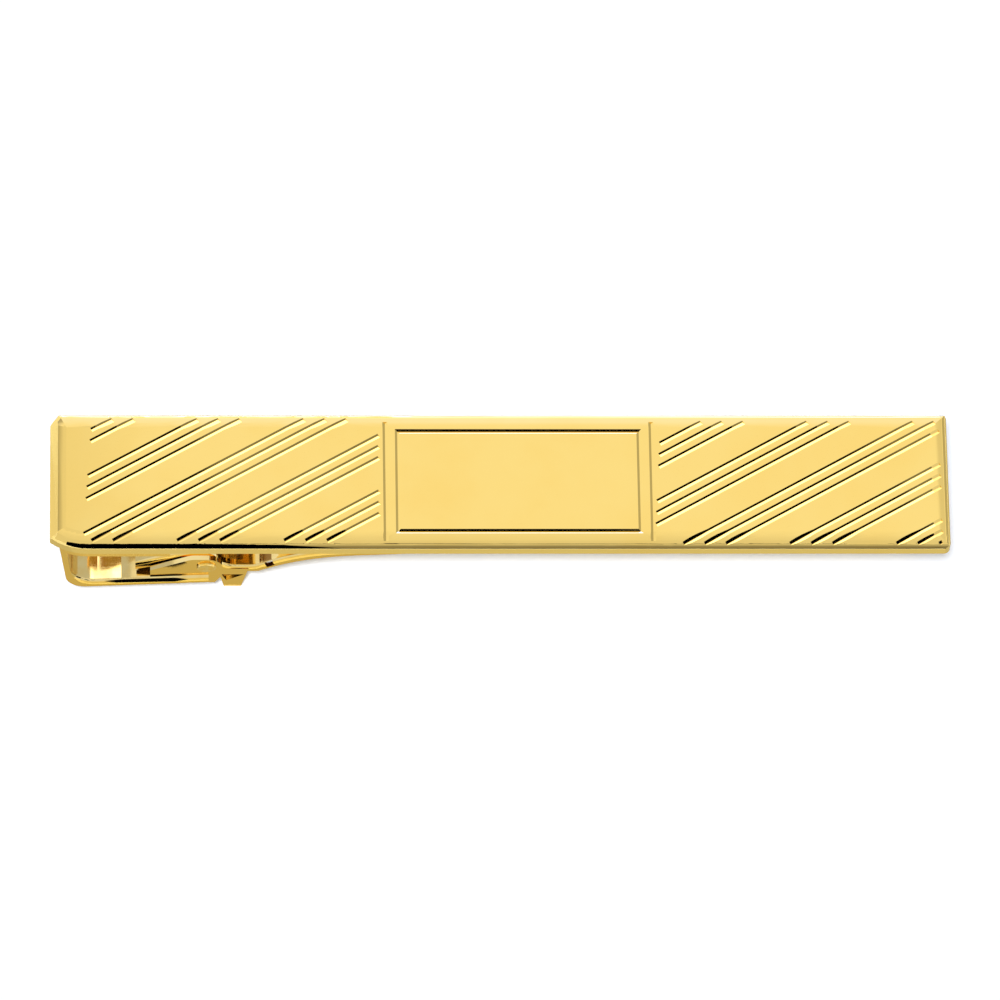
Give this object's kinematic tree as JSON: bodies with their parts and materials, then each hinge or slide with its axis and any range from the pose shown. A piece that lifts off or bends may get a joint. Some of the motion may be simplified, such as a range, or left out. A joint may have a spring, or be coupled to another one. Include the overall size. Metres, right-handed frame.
{
  "type": "tie clip",
  "caption": "Polished gold-tone tie clip: a flat bar engraved with slanted stripes around a plain panel, with a sprung toothed lever hinged behind its end to grip a necktie.",
  "frame": {"origin": "under the middle of the bar, on the plane of the thumb tab's foot, which is the clip's lowest point when it lies face up", "axes": "+X along the bar, with the hinge end at -X; +Y across the bar, with -Y its lower long edge in the picture; +Z out of the engraved face"},
  "size_m": [0.057, 0.0094, 0.0077],
  "materials": {
    "polished_gold": "mirror-polished gold plate on brass",
    "bracket_gold": "gold plate on stamped brass, less polished than the bar",
    "pin_gold": "gold-plated rivet with upset ends",
    "spring_steel": "gold-flashed spring steel strip"
  },
  "bodies": {
    "frame": {"front_bar": "polished_gold", "hinge_bracket": "bracket_gold", "hinge_pin": "pin_gold", "leaf_spring": "spring_steel"},
    "arm": {"clip_arm": "bracket_gold"}
  },
  "joints": [
    {"name": "arm_hinge", "type": "hinge", "parent": "frame", "child": "arm", "pos_m": [-0.0186, 0, 0.00387], "axis": [0, 1, 0], "range_deg": [0, 15], "stiffness_Nm_per_rad": 0.06, "springref_deg": -20.05, "deforming": ["leaf_spring"]}
  ]
}
